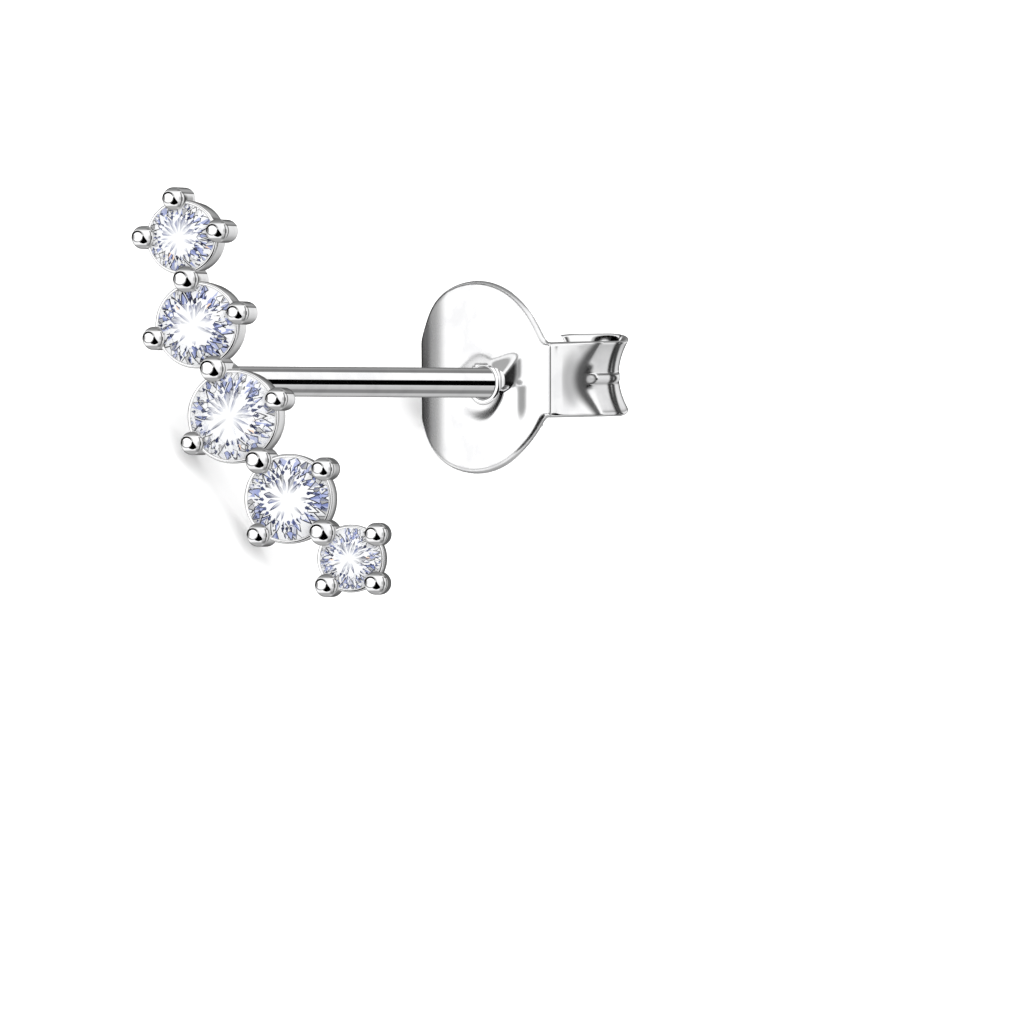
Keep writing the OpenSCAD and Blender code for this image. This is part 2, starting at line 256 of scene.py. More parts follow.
class Plan:
    """Where everything stands. The worn frame has X right, Y back and Z up, from the middle stone."""

    def __init__(self, sizes):
        self.s = sizes
        self.diameters = list(sizes.stones.diameters)
        self.last = len(self.diameters) - 1
        self.lying = self.lay_down()

    def link_heading(self, i):
        return self.s.row.first_heading + self.s.row.heading_step * i

    def row_heading(self, i):
        return (self.link_heading(max(i - 1, 0)) + self.link_heading(min(i, self.last - 1))) / 2

    @staticmethod
    def toward(heading):
        return Vector((math.sin(heading), -math.cos(heading)))

    def link_step(self, i):
        reach = (self.diameters[i] + self.diameters[i + 1]) / 2 + self.s.row.gap
        return reach * self.toward(self.link_heading(i))

    def centre(self, i):
        """A stone's centre on the unwrapped face."""
        place = Vector((0, 0))
        for k in range(i, MIDDLE_STONE):
            place -= self.link_step(k)
        for k in range(MIDDLE_STONE, i):
            place += self.link_step(k)
        return place

    def own_prong(self, i, heading):
        return self.centre(i) + (self.diameters[i] / 2 + self.s.settings.prong_out) * self.toward(heading)

    def left_prong(self, i):
        return self.own_prong(i, self.row_heading(i) - math.pi / 2 + LEFT_TURNS[i])

    def right_prong(self, i):
        return self.own_prong(i, self.row_heading(i) + math.pi / 2 + RIGHT_TURNS[i])

    def shared_prong(self, i):
        reach = (self.diameters[i] + self.s.row.gap) / 2
        return self.centre(i) + reach * self.toward(self.link_heading(i)) + SHARED_SHIFTS[i]

    def prongs(self):
        """Place and diameter of every prong."""
        own, shared = self.s.settings.prong_d, self.s.settings.shared_prong_d
        found = []
        for i in range(self.last + 1):
            found += [(self.right_prong(i), own), (self.left_prong(i), own)]
        found += [(self.shared_prong(i), shared) for i in range(self.last)]
        found.append((self.own_prong(TOP_STONE, self.link_heading(0) + math.pi), own))
        found.append((self.own_prong(self.last, self.link_heading(self.last - 1)), own))
        return found

    def on_face(self, place):
        """Matrix from a place's own frame, on the wrapped face, to the worn frame."""
        r = self.s.row.bend_r
        turned = place[0] / r
        point = Vector((r * math.sin(turned), r * (1 - math.cos(turned)), place[1]))
        return Matrix.Translation(point) @ Matrix.Rotation(turned, 4, "Z")

    def facing(self, place):
        """The same, for a thing whose +Z is its front."""
        return self.lying @ self.on_face(place) @ Matrix.Rotation(math.pi / 2, 4, "X")

    def at_post(self, along=0.0):
        """Matrix from the post's frame, with +Y along the post, to the row frame."""
        p = self.s.post
        return (
            self.lying
            @ Matrix.Translation(Vector(p.root))
            @ Matrix.Rotation(-p.lean, 4, "Z")
            @ Matrix.Translation((0, along, 0))
        )

    @staticmethod
    def ring_foot(centre, axis, r, up):
        """Lowest point of a ring of radius r round an axis."""
        return centre - r * (up - up.dot(axis) * axis).normalized()

    def prong_foot(self, i, up):
        s = self.s.settings
        seat = self.on_face(self.left_prong(i))
        return self.ring_foot(seat @ Vector((0, s.depth - s.foot, 0)), seat.col[1].xyz, s.prong_d / 2, up)

    def ear_foot(self, up):
        b, p = self.s.back, self.s.post
        bend = Matrix.Rotation(b.wing_bend, 3, "Z")
        fold = Matrix.Rotation(b.wing_bend + b.crease_bend, 3, "Z")
        neck = Vector((b.flat_half_w, 0, 0)) + bend @ Vector((b.wing_w, 0, 0))
        hub = neck + fold @ Vector((0, b.ear_r + ear_seat(b), 0))
        rim = Vector((-hub.x, hub.y + p.back_seat, b.ear_z - b.ear_w / 2))
        centre = Vector(p.root) + Matrix.Rotation(-p.lean, 3, "Z") @ rim
        return self.ring_foot(centre, Vector((0, 0, 1)), b.ear_r + b.flare, up)

    def lay_down(self):
        """Matrix from the worn frame to the one in which the earring lies on two prongs and an ear."""
        up = LYING_GUESS.normalized()
        for _ in range(12):
            a, b, c = self.prong_foot(2, up), self.prong_foot(3, up), self.ear_foot(up)
            up = (b - a).cross(c - a).normalized()
        post = Vector((math.sin(self.s.post.lean), math.cos(self.s.post.lean), 0))
        ahead = (post - post.dot(up) * up).normalized()
        side = ahead.cross(up)
        low = self.prong_foot(2, up).dot(up)
        return Matrix((
            (*side, -CENTRE_X),
            (*ahead, -CENTRE_Y),
            (*up, -low),
            (0, 0, 0, 1),
        ))


def ear_seat(b):
    """How far an ear's middle lies behind the sheet's front."""
    return b.flare * 0.35


def look_seat(b):
    """The same, for the ear as it looks."""
    return b.edge_flare * 0.35


def smooth(t):
    """0 below 0, 1 above 1, and a soft step between."""
    t = min(max(t, 0.0), 1.0)
    return t * t * (3 - 2 * t)


def arc(centre, r, start, end, steps):
    """Points round a centre in a profile's plane, from one angle to another."""
    turns = [start + (end - start) * k / steps for k in range(steps + 1)]
    return [(centre[0] + r * math.cos(t), centre[1] + r * math.sin(t)) for t in turns]


def turn(bm, profile, sides, matrix, ring=False):
    """Adds a profile of (radius, height) points turned round Z. A ring's profile is a closed loop."""
    rows = []
    for r, h in profile:
        if r < 1e-9:
            rows.append([bm.verts.new(matrix @ Vector((0, 0, h)))])
            continue
        turns = [2 * math.pi * k / sides for k in range(sides)]
        rows.append([bm.verts.new(matrix @ Vector((r * math.cos(t), r * math.sin(t), h))) for t in turns])
    pairs = list(zip(rows, rows[1:] + rows[:1])) if ring else list(zip(rows, rows[1:]))
    for a, b in pairs:
        for k in range(sides):
            n = (k + 1) % sides
            corners = [a[k % len(a)], a[n % len(a)], b[n % len(b)], b[k % len(b)]]
            bm.faces.new(list(dict.fromkeys(corners)))


def object_of(name, bm):
    """Makes an object of a mesh and puts it in the scene."""
    mesh = bpy.data.meshes.new(name)
    bm.to_mesh(mesh)
    bm.free()
    made = bpy.data.objects.new(name, mesh)
    bpy.context.scene.collection.objects.link(made)
    return made


def finish_piece(name, bm, material, body, sharp, replaced=()):
    """Makes a smooth object of a mesh, gives it its material and joins it to its CAD body."""
    bmesh.ops.remove_doubles(bm, verts=bm.verts, dist=1e-7)
    bmesh.ops.recalc_face_normals(bm, faces=bm.faces)
    piece = object_of(name, bm)
    piece.data.shade_smooth()
    piece.data.set_sharp_from_angle(angle=sharp)
    piece.data.materials.append(material)
    join_frame(piece, body, replaced)


def join_frame(piece, body, replaced=()):
    """Makes a piece move with its CAD body, keeps it out of reflections, and hides the CAD parts that it
    stands for.
    """
    piece.visible_glossy = False
    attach(piece, body)
    if replaced:
        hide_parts(*replaced)


class Wiring:
    """Short ways to add and link nodes in one tree."""

    def __init__(self, tree):
        self.tree = tree

    def node(self, kind, inputs=None, **settings):
        node = self.tree.nodes.new(kind)
        for key, value in settings.items():
            setattr(node, key, value)
        for key, value in (inputs or {}).items():
            self.feed(node.inputs[key], value)
        return node

    def feed(self, socket, value):
        if isinstance(value, bpy.types.NodeSocket):
            self.tree.links.new(value, socket)
        else:
            socket.default_value = value

    def math(self, operation, *values, clamp=False):
        node = self.node("ShaderNodeMath", dict(enumerate(values)), operation=operation, use_clamp=clamp)
        return node.outputs[0]

    def length(self, x, y):
        return self.math("SQRT", self.math("ADD", self.math("MULTIPLY", x, x), self.math("MULTIPLY", y, y)))

    def less(self, value, limit):
        """1 where the value is less than the limit."""
        return self.math("LESS_THAN", value, limit)

    def more(self, value, limit):
        """1 where the value is more than the limit."""
        return self.math("GREATER_THAN", value, limit)

    def both(self, *masks):
        """One mask where all of them hold."""
        whole = masks[0]
        for mask in masks[1:]:
            whole = self.math("MULTIPLY", whole, mask)
        return whole

    def soft_step(self, value, place, soft, before, beyond):
        """A soft step at a place."""
        node = self.node("ShaderNodeMapRange", {
            "Value": value, "From Min": place - soft, "From Max": place + soft,
            "To Min": before, "To Max": beyond,
        }, interpolation_type="SMOOTHSTEP")
        return node.outputs[0]

    def above(self, value, low, soft):
        """1 above low, with a soft edge."""
        return self.soft_step(value, low, soft, 0.0, 1.0)

    def below(self, value, high, soft):
        """1 below high, with a soft edge."""
        return self.soft_step(value, high, soft, 1.0, 0.0)

    def between(self, value, low, high, soft):
        """1 between low and high, with soft edges."""
        return self.math("MULTIPLY", self.above(value, low, soft), self.below(value, high, soft))

    def mix(self, factor, a, b):
        """A colour between a and b. On the Mix node a colour's inputs are 6 and 7, and its output is 2."""
        node = self.node("ShaderNodeMix", data_type="RGBA")
        self.feed(node.inputs[0], factor)
        self.feed(node.inputs[6], a)
        self.feed(node.inputs[7], b)
        return node.outputs[2]

    def ramp(self, value, stops, interpolation="LINEAR"):
        """A colour ramp from (place, colour) stops."""
        node = self.node("ShaderNodeValToRGB", {"Fac": value})
        node.color_ramp.interpolation = interpolation
        elements = node.color_ramp.elements
        elements[0].position, elements[0].color = stops[0]
        elements[1].position, elements[1].color = stops[-1]
        for place, shade in stops[1:-1]:
            elements.new(place).color = shade
        return node.outputs[0]


def grey(value):
    return (value, value, value, 1.0)


def opaque(shade):
    return (*shade, 1.0)


def new_group(name, inputs, outputs):
    """An empty shader node group with (kind, name, default) inputs and (kind, name) outputs."""
    group = bpy.data.node_groups.new(name, "ShaderNodeTree")
    for kind, label, default in inputs:
        socket = group.interface.new_socket(label, in_out="INPUT", socket_type=kind)
        if default is not None:
            socket.default_value = default
    for kind, label in outputs:
        group.interface.new_socket(label, in_out="OUTPUT", socket_type=kind)
    wiring = Wiring(group)
    return wiring, wiring.node("NodeGroupInput"), wiring.node("NodeGroupOutput")


def polish_group():
    """Polished metal: soft patches, fine buffing lines and a faint swell, from a place in metres."""
    found = bpy.data.node_groups.get("buffed_polish")
    if found:
        return found
    w, given, out = new_group(
        "buffed_polish",
        [
            ("NodeSocketVector", "Place", None),
            ("NodeSocketColor", "Bright", grey(0.9)),
            ("NodeSocketColor", "Shade", grey(0.8)),
            ("NodeSocketFloat", "Smoothest", 0.05),
            ("NodeSocketFloat", "Roughest", 0.12),
        ],
        [("NodeSocketColor", "Colour"), ("NodeSocketFloat", "Roughness"), ("NodeSocketFloat", "Height")],
    )
    patches = w.node("ShaderNodeTexNoise", {
        "Vector": given.outputs["Place"], "Scale": 1400.0, "Detail": 3.0,
    })
    cloud = w.above(patches.outputs["Fac"], 0.55, 0.12)
    stretched = w.node("ShaderNodeMapping", {
        "Vector": given.outputs["Place"], "Scale": (9000.0, 9000.0, 90000.0),
        "Rotation": (0.4, 0.7, 0.2),
    })
    lines = w.node("ShaderNodeTexNoise", {"Vector": stretched.outputs[0], "Scale": 1.0, "Detail": 2.0})
    fine = w.above(lines.outputs["Fac"], 0.6, 0.1)
    w.feed(out.inputs["Colour"], w.mix(
        w.math("MULTIPLY", cloud, 0.5), given.outputs["Bright"], given.outputs["Shade"]
    ))
    worn = w.math("ADD", w.math("MULTIPLY", cloud, 0.6), w.math("MULTIPLY", fine, 0.4), clamp=True)
    rough = w.node("ShaderNodeMapRange", {
        "Value": worn, "To Min": given.outputs["Smoothest"], "To Max": given.outputs["Roughest"],
    })
    w.feed(out.inputs["Roughness"], rough.outputs[0])
    w.feed(out.inputs["Height"], w.math(
        "ADD", w.math("MULTIPLY", patches.outputs["Fac"], 0.8), w.math("MULTIPLY", fine, 0.05)
    ))
    return w.tree


def new_material(name):
    """A new material, with the wiring of its nodes and its shader."""
    material = bpy.data.materials.new(name)
    material.use_nodes = True
    tree = material.node_tree
    return material, Wiring(tree), tree.nodes["Principled BSDF"]


def silver_material(name, smoothest, roughest, swell, satin=0.0):
    """Polished silver. swell: height of its faint waves, in metres. satin: how much rougher a plate is."""
    finish = bpy.context.scene.ear_climber.finishes
    material, w, shader = new_material(name)
    place = w.node("ShaderNodeTexCoord").outputs["Object"]
    polish = w.node("ShaderNodeGroup", node_tree=polish_group())
    w.feed(polish.inputs["Place"], place)
    w.feed(polish.inputs["Bright"], opaque(finish.silver))
    w.feed(polish.inputs["Shade"], opaque(finish.silver_shade))
    w.feed(polish.inputs["Smoothest"], smoothest)
    w.feed(polish.inputs["Roughest"], roughest)
    bump = w.node("ShaderNodeBump", {
        "Height": polish.outputs["Height"], "Strength": 1.0, "Distance": swell,
    })
    w.feed(shader.inputs["Base Color"], polish.outputs["Colour"])
    plate = w.node("ShaderNodeAttribute", attribute_name="satin").outputs["Fac"]
    w.feed(shader.inputs["Roughness"], w.math("MULTIPLY_ADD", plate, satin, polish.outputs["Roughness"]))
    w.feed(shader.inputs["Normal"], bump.outputs[0])
    shader.inputs["Metallic"].default_value = 1.0
    return material


class Flashes:
    """Paints the flashes of a cut stone's front, its painted reflections, in layers, from the girdle to the
    middle.
    """

    def __init__(self, w, given):
        self.w = w
        parts = w.node("ShaderNodeSeparateXYZ", {"Vector": given.outputs["Place"]})
        x, self.y = parts.outputs[0], parts.outputs[1]
        self.out_r = w.length(x, self.y)
        self.round_a = w.math("DIVIDE", w.math("ARCTAN2", self.y, x), 2 * math.pi)
        self.seed, self.ray_tint = given.outputs["Seed"], given.outputs["Rays"]
        self.ice, self.lavender, self.navy, self.tan = (
            given.outputs[name] for name in ("Ice", "Lavender", "Navy", "Tan")
        )
        self.blue = w.mix(0.5, self.lavender, self.navy)
        self.shade = self.ice

    def paint(self, mask, colour):
        """Lays a colour over the shade so far."""
        self.shade = self.w.mix(mask, self.shade, colour)

    def chance(self, salt, cell):
        """Three random numbers for a cell."""
        w = self.w
        place = w.node("ShaderNodeCombineXYZ", {
            "X": cell, "Y": w.math("ADD", self.seed, salt), "Z": salt * 1.7,
        })
        noise = w.node("ShaderNodeTexWhiteNoise", {"Vector": place.outputs[0]})
        return w.node("ShaderNodeSeparateXYZ", {"Vector": noise.outputs["Color"]}).outputs

    def kites(self, count, salt, shift, inner, outer, spread, wide):
        """Kites that point outwards: whole, one half, edge, three random numbers and the place along."""
        w = self.w
        along = w.math("MULTIPLY_ADD", self.round_a, float(count), shift)
        luck = self.chance(salt, w.math("FLOOR", along))
        aside = w.math("SUBTRACT", w.math("FRACT", along), 0.5)
        start = w.math("MULTIPLY_ADD", luck[1], spread, inner)
        end = w.math("MULTIPLY_ADD", luck[2], -spread, outer)
        t = w.math("DIVIDE", w.math("SUBTRACT", self.out_r, start), w.math("SUBTRACT", end, start))
        widest = w.math("MULTIPLY_ADD", w.more(luck[0], 0.4), 0.55, 0.2)
        rise = w.math("DIVIDE", w.math("MULTIPLY", t, wide), widest)
        fall = w.math("DIVIDE", w.math("MULTIPLY_ADD", t, -wide, wide), w.math("SUBTRACT", 1.0, widest))
        depth = w.math("SUBTRACT", w.math("MINIMUM", rise, fall), w.math("ABSOLUTE", aside))
        whole = w.more(depth, 0.0)
        return whole, w.both(whole, w.more(aside, 0.0)), w.both(whole, w.less(depth, 0.1)), luck, t

    def crown(self):
        """Painted reflections: large kites in ice, grey and lavender, with dark edges."""
        w, ice = self.w, self.ice
        ink = w.mix(0.7, self.navy, grey(0.004))
        for count, salt, shift, inner, outer, spread, wide, share in (
            (16, 1.0, 0.0, 0.57, 1.06, 0.06, 0.47, 1.1),
            (16, 8.0, 0.5, 0.50, 0.90, 0.06, 0.42, 0.75),
            (32, 3.0, 0.1, 0.76, 1.06, 0.08, 0.46, 0.7),
            (26, 2.0, 0.3, 0.60, 0.93, 0.12, 0.38, 0.55),
            (22, 11.0, 0.7, 0.74, 1.06, 0.10, 0.40, 0.4),
        ):
            whole, half, edge, luck, t = self.kites(count, salt, shift, inner, outer, spread, wide)
            chosen = w.less(luck[0], share)
            fill = w.mix(w.less(luck[1], 0.42), w.mix(luck[2], grey(0.14), grey(0.6)), self.lavender)
            fill = w.mix(w.more(luck[1], 0.7), fill, ice)
            self.paint(w.both(whole, chosen), w.mix(w.math("MULTIPLY", t, 0.4, clamp=True), fill, ice))
            self.paint(w.both(half, chosen, w.more(luck[2], 0.42)), ice)
            self.paint(w.both(half, chosen, w.less(luck[2], 0.2)), w.mix(0.5, fill, self.blue))
            self.paint(w.both(edge, chosen, w.less(luck[2], 0.85)), w.mix(luck[1], ink, grey(0.06)))

    def dark_flashes(self):
        """Painted reflections: small dark kites over the crown's, with a few white and warm ones."""
        w = self.w
        soot = w.mix(0.5, self.navy, grey(0.004))
        for count, salt, inner, outer, share in (
            (30, 4.0, 0.50, 0.70, 0.7),
            (44, 5.0, 0.66, 0.82, 0.35),
            (50, 9.0, 0.82, 0.97, 0.3),
        ):
            whole, half, _, luck, _ = self.kites(count, salt, 0.4, inner, outer, 0.04, 0.4)
            chosen = w.less(luck[0], share)
            dark = w.mix(w.math("MULTIPLY", luck[2], 0.4), soot, self.lavender)
            self.paint(w.both(whole, chosen), dark)
            self.paint(w.both(half, chosen, w.more(luck[1], 0.6)), w.mix(0.3, self.ice, self.lavender))
            self.paint(w.both(whole, w.more(luck[0], 0.85)), self.ice)
            self.paint(w.both(half, chosen, w.less(luck[1], 0.05)), self.tan)

    def rays(self):
        """Painted reflections: faint rays round the bright middle, more of them in its upper half."""
        w, ice = self.w, self.ice
        upper = w.math(
            "MULTIPLY_ADD", w.math("DIVIDE", self.y, w.math("ADD", self.out_r, 0.02)), 0.4, 0.6, clamp=True
        )
        for count, salt, inner, outer, spread, share in (
            (15, 6.0, 0.02, 0.6, 0.15, 0.95),
            (25, 7.0, 0.26, 0.62, 0.12, 0.8),
        ):
            whole, half, edge, luck, t = self.kites(count, salt, 0.5, inner, outer, spread, 0.46)
            chosen = w.less(luck[0], w.math("MULTIPLY", upper, share))
            fade = w.math("MULTIPLY", t, 1.5, clamp=True)
            pale = w.mix(0.4, grey(0.4), self.lavender)
            deep = w.mix(self.ray_tint, pale, w.mix(luck[2], grey(0.06), self.blue))
            self.paint(w.both(whole, chosen), w.mix(fade, ice, w.mix(0.4, deep, ice)))
            self.paint(w.both(half, chosen), w.mix(fade, ice, deep))
            line = w.mix(self.ray_tint, deep, self.navy)
            self.paint(w.both(edge, chosen, w.more(luck[1], 0.3)), w.mix(fade, ice, line))


def facet_group():
    """The flashes of a cut stone, painted reflections seen from its front, as a shader group."""
    w, given, out = new_group(
        "facet_flashes",
        [
            ("NodeSocketVector", "Place", None),
            ("NodeSocketFloat", "Seed", 0.0),
            ("NodeSocketFloat", "Rays", 0.5),
            ("NodeSocketColor", "Ice", grey(1.0)),
            ("NodeSocketColor", "Lavender", grey(0.5)),
            ("NodeSocketColor", "Navy", grey(0.1)),
            ("NodeSocketColor", "Tan", grey(0.5)),
        ],
        [("NodeSocketColor", "Colour")],
    )
    flashes = Flashes(w, given)
    flashes.crown()
    flashes.dark_flashes()
    flashes.rays()
    # A painted bright middle, and a grey line at the girdle's edge
    flashes.paint(w.below(flashes.out_r, 0.07, 0.05), flashes.ice)
    flashes.paint(w.above(flashes.out_r, 0.985, 0.01), grey(0.42))
    w.feed(out.inputs["Colour"], flashes.shade)
    return w.tree


def stone_material():
    """Clear cut crystal, whose inner flashes are painted reflections laid on its facets under a bright
    gloss.
    """
    finish = bpy.context.scene.ear_climber.finishes
    material, w, shader = new_material("cut_crystal")
    flashes = w.node("ShaderNodeGroup", node_tree=facet_group())
    w.feed(flashes.inputs["Place"], w.node("ShaderNodeUVMap", uv_map="front").outputs[0])
    for name in ("Seed", "Rays"):
        attribute = w.node("ShaderNodeAttribute", attribute_name=name.lower())
        w.feed(flashes.inputs[name], attribute.outputs["Fac"])
    for name in ("Ice", "Lavender", "Navy", "Tan"):
        w.feed(flashes.inputs[name], opaque(getattr(finish, name.lower())))
    w.feed(shader.inputs["Base Color"], flashes.outputs["Colour"])
    shader.inputs["Roughness"].default_value = 0.03
    shader.inputs["IOR"].default_value = 1.3
    return material


def plane_cut(bm, a, b, c):
    """Cuts a stone by the plane through three points and keeps the side that holds its middle."""
    normal = (b - a).cross(c - a).normalized()
    inside = Vector((0, 0, -0.2))
    if normal.dot(inside - a) > 0:
        normal.negate()
    geometry = bm.verts[:] + bm.edges[:] + bm.faces[:]
    bmesh.ops.bisect_plane(bm, geom=geometry, dist=1e-6, plane_co=a, plane_no=normal, clear_outer=True)
    bmesh.ops.holes_fill(bm, edges=[e for e in bm.edges if e.is_boundary], sides=0)


def round_point(r, turns, z):
    return Vector((r * math.cos(turns), r * math.sin(turns), z))


def brilliant(cut, d):
    """A round brilliant of radius 1, table up, cut plane by plane."""
    table_r, crown_h = cut.table, 2 * cut.crown
    girdle = 2 * cut.girdle_w / d
    culet = -girdle - 2 * cut.pavilion
    eighth, half = math.pi / 4, math.pi / 8
    star_r = (table_r + 1) / 2 * 1.01
    star_z = crown_h * (1 - star_r * math.cos(half)) / (1 - table_r)
    low_r = 0.24
    low_z = -girdle + (culet + girdle) * (1 - low_r * math.cos(half))
    bm = bmesh.new()
    bmesh.ops.create_cone(
        bm, cap_ends=True, segments=cut.girdle_sides, radius1=1, radius2=1, depth=crown_h - culet,
        matrix=Matrix.Translation((0, 0, (crown_h + culet) / 2)),
    )
    tip = Vector((0, 0, culet))
    for k in range(8):
        t = k * eighth
        table_point = round_point(table_r, t, crown_h)
        next_table = round_point(table_r, t + eighth, crown_h)
        star, last_star = round_point(star_r, t + half, star_z), round_point(star_r, t - half, star_z)
        plane_cut(bm, table_point, star, last_star)
        plane_cut(bm, table_point, next_table, star)
        low, last_low = round_point(low_r, t + half, low_z), round_point(low_r, t - half, low_z)
        plane_cut(bm, tip, low, last_low)
        for side in (0, 1):
            edge_t = t + 2 * half * side
            corner, middle = round_point(1, edge_t, 0), round_point(1, t + half, 0)
            plane_cut(bm, star, corner, middle)
            sunk = Vector((0, 0, -girdle))
            plane_cut(bm, low, corner + sunk, middle + sunk)
    bm.normal_update()
    return bm


class EARCLIMBER_OT_stones(bpy.types.Operator):
    """Cut the five brilliants and set them in their collets"""

    bl_idname = "ear_climber.stones"
    bl_label = "Cut Stones"

    def execute(self, context):
        sizes = context.scene.ear_climber
        plan = Plan(sizes)
        material = stone_material()
        for i, d in enumerate(plan.diameters):
            bm = brilliant(sizes.stones, d)
            layer = bm.loops.layers.uv.new("front")
            seed = bm.verts.layers.float.new("seed")
            ray = bm.verts.layers.float.new("rays")
            for face in bm.faces:
                for loop in face.loops:
                    loop[layer].uv = loop.vert.co.xy
            for vert in bm.verts:
                vert[seed], vert[ray] = 17.0 * (i + 1), RAY_TINTS[i]
            bmesh.ops.transform(bm, verts=bm.verts, matrix=(
                plan.facing(plan.centre(i)) @ Matrix.Scale(d / 2, 4)
            ))
            piece = object_of(f"cut_stone_{i + 1}", bm)
            piece.data.materials.append(material)
            join_frame(piece, "earring", [f"stone_{i + 1}"])
        return {"FINISHED"}


def collet_profile(s, cut, d):
    """Section of a collet, a closed loop of (radius, height): rim, wall, open back and seat."""
    outer = d / 2 + s.lip
    bore = outer - s.wall
    seat = d / 2 + 0.006 * MM
    seat_z = -cut.girdle_w - 0.025 * MM
    slope = d * cut.pavilion / seat
    back = -s.depth
    front_z, back_z = -0.01 * MM - RIM_ROUND, back + 0.1 * MM
    wall = []
    for k in range(9):
        along = k / 8
        wall.append((outer - WALL_DRAWN_IN * along * along, front_z + (back_z - front_z) * along))
    return [
        *arc((outer - RIM_ROUND, front_z), RIM_ROUND, math.pi / 2, 0.0, 8),
        *wall[1:],
        *arc((wall[-1][0] - BACK_ROUND, back + BACK_ROUND), BACK_ROUND, -0.2, -math.pi / 2, 6),
        *arc((bore + BORE_ROUND, back + BORE_ROUND), BORE_ROUND, -math.pi / 2, -math.pi, 4),
        (bore, seat_z - slope * (seat - bore)),
        (seat, seat_z),
        (seat, -0.01 * MM),
    ]


class EARCLIMBER_OT_collets(bpy.types.Operator):
    """Turn the five open collets"""

    bl_idname = "ear_climber.collets"
    bl_label = "Turn Collets"

    def execute(self, context):
        sizes = context.scene.ear_climber
        plan = Plan(sizes)
        bm = bmesh.new()
        for i, d in enumerate(plan.diameters):
            profile = collet_profile(sizes.settings, sizes.stones, d)
            turn(bm, profile, 96, plan.facing(plan.centre(i)), ring=True)
        material = silver_material("collet_silver", smoothest=0.08, roughest=0.16, swell=0.5e-6)
        finish_piece("collets", bm, material, "earring", CRISP, ["climber_frame"])
        return {"FINISHED"}


def prong_profile(s):
    """Section of a prong, front first: a round head, the rod and its round foot."""
    rod = s.prong_d / 2
    head = (0, s.prong_rise)
    dome = arc(head, rod, math.pi / 2, 0, 20)
    dome[0] = (0, s.prong_rise + rod)
    return [
        *dome,
        (rod, -s.depth * 0.2),
        (rod, -s.depth * 0.4),
        (rod, -s.depth * 0.6),
        *arc((rod - FOOT_ROUND, -s.depth + FOOT_ROUND), FOOT_ROUND, 0.0, -math.pi / 2, 8),
        (0, -s.depth),
    ]


def repeat_tree():
    """Sets a copy of one piece at each point of a mesh, turned and widened by the point's attributes."""
    tree = bpy.data.node_groups.new("set_at_places", "GeometryNodeTree")
    for kind, label, way in (
        ("NodeSocketGeometry", "Places", "INPUT"),
        ("NodeSocketObject", "Piece", "INPUT"),
        ("NodeSocketMaterial", "Material", "INPUT"),
        ("NodeSocketGeometry", "Pieces", "OUTPUT"),
    ):
        tree.interface.new_socket(label, in_out=way, socket_type=kind)
    w = Wiring(tree)
    given, out = w.node("NodeGroupInput"), w.node("NodeGroupOutput")
    info = w.node("GeometryNodeObjectInfo", {"Object": given.outputs["Piece"]})
    attributes = {}
    for label in ("turned", "widened"):
        node = w.node("GeometryNodeInputNamedAttribute", {"Name": label}, data_type="FLOAT_VECTOR")
        attributes[label] = node.outputs["Attribute"]
    points = w.node("GeometryNodeInstanceOnPoints", {
        "Points": given.outputs["Places"],
        "Instance": info.outputs["Geometry"],
        "Scale": attributes["widened"],
    })
    euler = w.node("FunctionNodeEulerToRotation", {"Euler": attributes["turned"]})
    w.feed(points.inputs["Rotation"], euler.outputs[0])
    real = w.node("GeometryNodeRealizeInstances", {"Geometry": points.outputs[0]})
    coated = w.node("GeometryNodeSetMaterial", {
        "Geometry": real.outputs[0], "Material": given.outputs["Material"],
    })
    w.feed(out.inputs["Pieces"], coated.outputs[0])
    return tree


def set_input(modifier, label, value):
    """Sets a modifier's input by its socket's identifier."""
    for item in modifier.node_group.interface.items_tree:
        if item.item_type == "SOCKET" and item.in_out == "INPUT" and item.name == label:
            modifier[item.identifier] = value
            return
    raise KeyError(label)


class EARCLIMBER_OT_prongs(bpy.types.Operator):
    """Set a domed prong at each of its places"""

    bl_idname = "ear_climber.prongs"
    bl_label = "Set Prongs"

    def execute(self, context):
        sizes = context.scene.ear_climber
        plan = Plan(sizes)
        s = sizes.settings
        bm = bmesh.new()
        turn(bm, prong_profile(s), 56, Matrix.Identity(4))
        bmesh.ops.recalc_face_normals(bm, faces=bm.faces)
        pattern = object_of("one_prong", bm)
        places = bpy.data.meshes.new("prong_places")
        seats = [(plan.facing(place), d) for place, d in plan.prongs()]
        places.from_pydata([seat.translation for seat, _ in seats], [], [])
        for label, values in (
            ("turned", [seat.to_euler() for seat, _ in seats]),
            ("widened", [(d / s.prong_d, d / s.prong_d, 1.0) for _, d in seats]),
        ):
            attribute = places.attributes.new(label, "FLOAT_VECTOR", "POINT")
            for item, value in zip(attribute.data, values):
                item.vector = value
        holder = bpy.data.objects.new("prong_places", places)
        context.scene.collection.objects.link(holder)
        modifier = holder.modifiers.new("set_at_places", "NODES")
        modifier.node_group = repeat_tree()
        set_input(modifier, "Piece", pattern)
        material = silver_material("prong_silver", smoothest=0.03, roughest=0.07, swell=0.3e-6)
        set_input(modifier, "Material", material)
        graph = context.evaluated_depsgraph_get()
        mesh = bpy.data.meshes.new_from_object(holder.evaluated_get(graph))
        mesh.name = "prongs"
        mesh.shade_smooth()
        mesh.set_sharp_from_angle(angle=CRISP)
        piece = bpy.data.objects.new("prongs", mesh)
        context.scene.collection.objects.link(piece)
        for spent in (holder, pattern):
            bpy.data.objects.remove(spent)
        join_frame(piece, "earring", ["climber_frame"])
        return {"FINISHED"}


